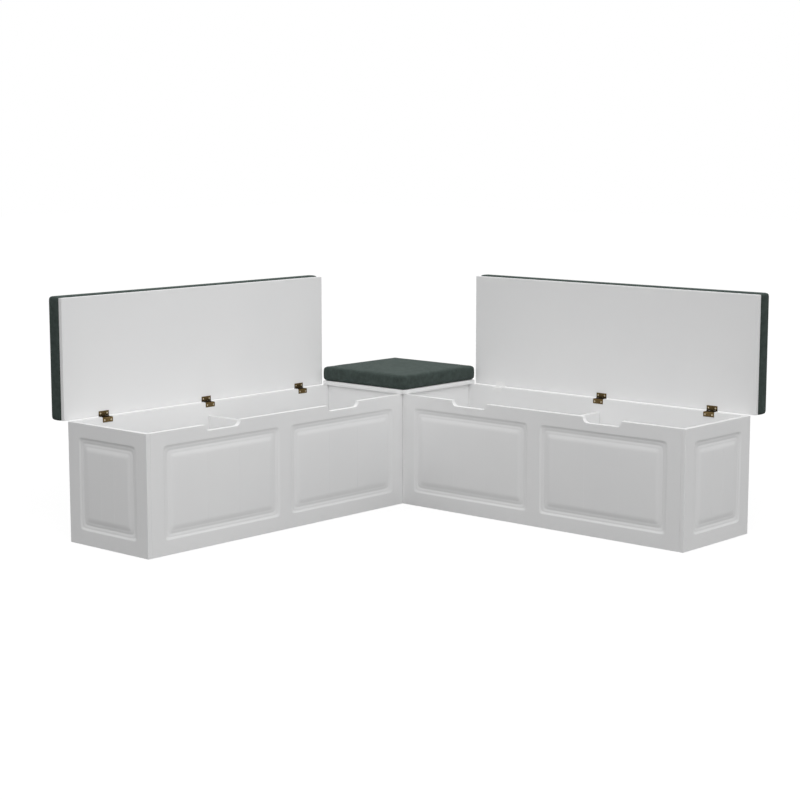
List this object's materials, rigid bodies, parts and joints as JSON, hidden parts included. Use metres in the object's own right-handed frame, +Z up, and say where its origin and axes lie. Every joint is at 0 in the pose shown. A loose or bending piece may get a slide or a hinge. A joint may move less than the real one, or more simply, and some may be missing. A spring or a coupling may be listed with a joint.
{
  "type": "corner storage bench",
  "caption": "L-shaped corner storage bench: panelled box wings with hinged, cushioned lids that open over storage, joined by a fixed cushioned corner seat.",
  "frame": {"origin": "middle of the footprint at rest, lids open, on the floor", "axes": "+Z up; the right wing runs along +X and the left wing along -Y from the corner seat, which stands at the -X, +Y corner"},
  "size_m": [1.6772, 1.6722, 0.8036],
  "materials": {
    "white_paint": "satin white paint on fibreboard",
    "green_fabric": "dark green-grey woven cover",
    "aged_bronze": "antique bronze plate",
    "white_metal": "white painted steel",
    "zinc_steel": "zinc plated"
  },
  "bodies": {
    "bench": {"corner_bottom_panel": "white_paint", "corner_cushion": "green_fabric", "corner_left_back_panel": "white_paint", "corner_left_wall": "white_paint", "corner_right_back_panel": "white_paint", "corner_right_wall": "white_paint", "corner_top_panel": "white_paint", "corner_top_screw_1": "zinc_steel", "corner_top_screw_2": "zinc_steel", "corner_top_screw_3": "zinc_steel", "corner_top_screw_4": "zinc_steel", "left_back_panel": "white_paint", "left_bottom_panel": "white_paint", "left_front_panel": "white_paint", "left_hinge_1_box_leaf": "aged_bronze", "left_hinge_1_pin": "aged_bronze", "left_hinge_2_box_leaf": "aged_bronze", "left_hinge_2_pin": "aged_bronze", "left_hinge_3_box_leaf": "aged_bronze", "left_hinge_3_pin": "aged_bronze", "left_outer_end_panel": "white_paint", "left_partition": "white_paint", "right_back_panel": "white_paint", "right_bottom_panel": "white_paint", "right_front_panel": "white_paint", "right_hinge_1_box_leaf": "white_metal", "right_hinge_1_pin": "white_metal", "right_hinge_2_box_leaf": "aged_bronze", "right_hinge_2_pin": "aged_bronze", "right_hinge_3_box_leaf": "aged_bronze", "right_hinge_3_pin": "aged_bronze", "right_outer_end_panel": "white_paint", "right_partition": "white_paint"},
    "left_lid": {"left_hinge_1_lid_leaf": "aged_bronze", "left_hinge_2_lid_leaf": "aged_bronze", "left_hinge_3_lid_leaf": "aged_bronze", "left_lid_cushion": "green_fabric", "left_lid_panel": "white_paint"},
    "right_lid": {"right_hinge_1_lid_leaf": "white_metal", "right_hinge_2_lid_leaf": "aged_bronze", "right_hinge_3_lid_leaf": "aged_bronze", "right_lid_cushion": "green_fabric", "right_lid_panel": "white_paint"}
  },
  "joints": [
    {"name": "left_lid_hinge", "type": "hinge", "parent": "bench", "child": "left_lid", "pos_m": [-0.7694, -0.2161, 0.3986], "axis": [0, 1, 0], "range_deg": [0, 90]},
    {"name": "right_lid_hinge", "type": "hinge", "parent": "bench", "child": "right_lid", "pos_m": [0.2136, 0.7669, 0.3986], "axis": [1, 0, 0], "range_deg": [0, 90]}
  ]
}
